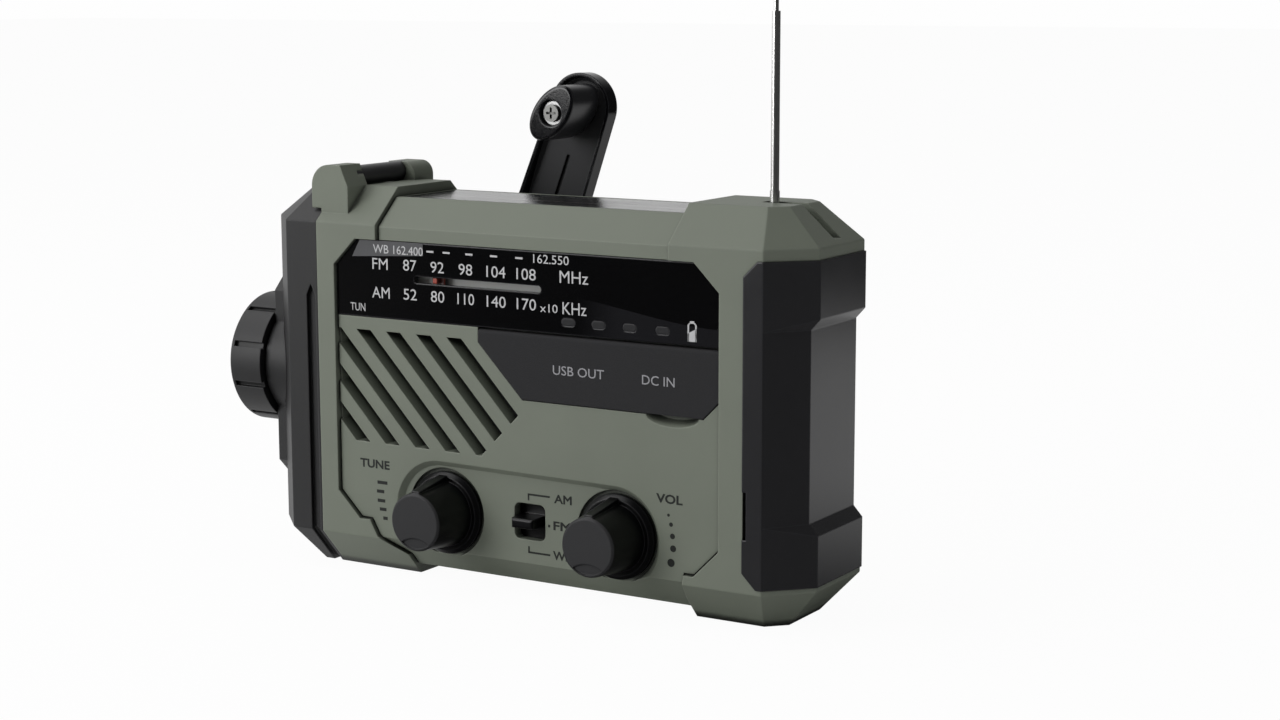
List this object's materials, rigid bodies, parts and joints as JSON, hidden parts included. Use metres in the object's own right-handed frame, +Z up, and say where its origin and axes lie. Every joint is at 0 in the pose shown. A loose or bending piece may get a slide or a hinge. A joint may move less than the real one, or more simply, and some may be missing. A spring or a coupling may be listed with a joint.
{
  "type": "emergency radio",
  "caption": "Hand-crank emergency radio with a solar panel, torch, rod antenna, tuning dial, speaker grille, knobs, band switch and socket cover.",
  "frame": {"origin": "middle of the overall box on the surface that the radio stands on", "axes": "+X to the radio's right end as seen from the front, +Y to the rear, +Z up"},
  "size_m": [0.1476, 0.0618, 0.16],
  "materials": {
    "green_plastic": "fine matt grain",
    "black_plastic": "satin",
    "black_gloss": "glossy",
    "black_rubber": "matt",
    "clear_lens": "clear",
    "lamp_lens": "translucent",
    "solar_blue": "dark blue cells",
    "solar_cover": "glossy resin",
    "mirror_metal": "polished",
    "antenna_chrome": "polished",
    "steel": "bright zinc",
    "tin_plate": "tinned",
    "pointer_red": "satin",
    "dial_grey": "matt",
    "white_gear": "acetal",
    "circuit_green": "satin lacquer",
    "speaker_cloth": "matt",
    "speaker_paper": "paper cone",
    "ferrite": "matt ferrite",
    "cell_wrap": "film wrapped"
  },
  "bodies": {
    "casing": {"front_shell": "green_plastic", "rear_shell": "green_plastic", "left_end_frame": "green_plastic", "right_end_frame": "green_plastic", "right_end_bumper": "black_plastic", "left_end_cap": "black_plastic", "lanyard_bar": "black_plastic", "flashlight_collar": "black_plastic", "flashlight_reflector": "mirror_metal", "flashlight_led": "circuit_green", "solar_cell": "solar_blue", "solar_window": "solar_cover", "dial_window": "black_gloss", "charge_lamps": "lamp_lens", "dial_plate": "dial_grey", "usb_out_socket": "tin_plate", "dc_in_socket": "tin_plate", "tuning_capacitor": "black_plastic", "volume_control": "black_plastic", "band_switch_body": "black_plastic", "speaker_cloth": "speaker_cloth", "speaker_frame": "steel", "speaker_cone": "speaker_paper", "speaker_magnet": "ferrite", "main_circuit_board": "circuit_green", "battery_tray": "black_plastic", "battery_cells": "cell_wrap", "battery_door": "green_plastic", "gearbox_plate": "white_gear", "generator": "steel", "intermediate_axle": "steel", "antenna_pivot_pin": "steel", "case_screws": "steel"},
    "crank": {"crank_hub": "black_gloss", "crank_gear": "white_gear", "crank_hinge_pin": "steel"},
    "crank_arm": {"crank_arm": "black_gloss", "crank_knob_screw": "steel", "crank_knob_washer": "steel"},
    "crank_knob": {"crank_knob": "black_gloss"},
    "intermediate_gear": {"intermediate_gear": "white_gear"},
    "generator_rotor": {"generator_pinion": "white_gear"},
    "flashlight_head": {"flashlight_head": "black_plastic", "flashlight_lens": "clear_lens"},
    "tune_knob": {"tune_knob": "black_plastic", "tuning_spindle": "steel"},
    "dial_pointer": {"dial_pointer": "pointer_red"},
    "volume_knob": {"volume_knob": "black_plastic", "volume_spindle": "steel"},
    "band_switch": {"band_switch_slider": "black_plastic"},
    "port_cover": {"port_cover": "black_rubber"},
    "antenna_base": {"antenna_knuckle": "antenna_chrome", "antenna_lower_tube": "antenna_chrome"},
    "antenna_top": {"antenna_upper_rod": "antenna_chrome", "antenna_tip": "antenna_chrome"}
  },
  "joints": [
    {"name": "crank_turn", "type": "hinge", "parent": "casing", "child": "crank", "pos_m": [-0.0235, 0.02665, 0.0589], "axis": [0, 1, 0], "continuous": true},
    {"name": "crank_fold", "type": "hinge", "parent": "crank", "child": "crank_arm", "pos_m": [-0.0235, 0.02905, 0.0589], "axis": [-0.9348, 0, 0.3551], "range_deg": [0, 180]},
    {"name": "crank_knob_spin", "type": "hinge", "parent": "crank_arm", "child": "crank_knob", "pos_m": [-0.00788, 0.01565, 0.10003], "axis": [0, 1, 0], "continuous": true},
    {"name": "intermediate_gear_spin", "type": "hinge", "parent": "casing", "child": "intermediate_gear", "pos_m": [-0.00278, 0.00065, 0.05709], "axis": [0, 1, 0], "continuous": true},
    {"name": "generator_spin", "type": "hinge", "parent": "casing", "child": "generator_rotor", "pos_m": [0.01526, 0.00065, 0.05052], "axis": [0, 1, 0], "continuous": true},
    {"name": "flashlight_head_turn", "type": "hinge", "parent": "casing", "child": "flashlight_head", "pos_m": [-0.0646, -0.00315, 0.0433], "axis": [1, 0, 0], "range_deg": [0, 60]},
    {"name": "tune_turn", "type": "hinge", "parent": "casing", "child": "tune_knob", "pos_m": [-0.0124, -0.01845, 0.016], "axis": [0, 1, 0], "range_deg": [-36, 234]},
    {"name": "dial_pointer_slide", "type": "slide", "parent": "casing", "child": "dial_pointer", "axis": [1, 0, 0], "range_m": [-0.00401, 0.02601]},
    {"name": "volume_turn", "type": "hinge", "parent": "casing", "child": "volume_knob", "pos_m": [0.0307, -0.01845, 0.016], "axis": [0, 1, 0], "range_deg": [-135, 135]},
    {"name": "band_switch_slide", "type": "slide", "parent": "casing", "child": "band_switch", "axis": [0, 0, 1], "range_m": [-0.0024, 0.0024]},
    {"name": "port_cover_hinge", "type": "hinge", "parent": "casing", "child": "port_cover", "pos_m": [0.03195, -0.01965, 0.056], "axis": [-1, 0, 0], "range_deg": [0, 105]},
    {"name": "antenna_tilt", "type": "hinge", "parent": "casing", "child": "antenna_base", "pos_m": [0.0582, -0.00315, 0.0806], "axis": [0, 1, 0], "range_deg": [0, 90]},
    {"name": "antenna_telescope", "type": "slide", "parent": "antenna_base", "child": "antenna_top", "axis": [0, 0, -1], "range_m": [0, 0.031]}
  ],
  "couplings": [
    {"joint": "intermediate_gear_spin", "follows": "crank_turn", "ratio": -3.3333},
    {"joint": "generator_spin", "follows": "crank_turn", "ratio": 10},
    {"joint": "dial_pointer_slide", "follows": "tune_turn", "m_per_rad": 0.0063662}
  ]
}
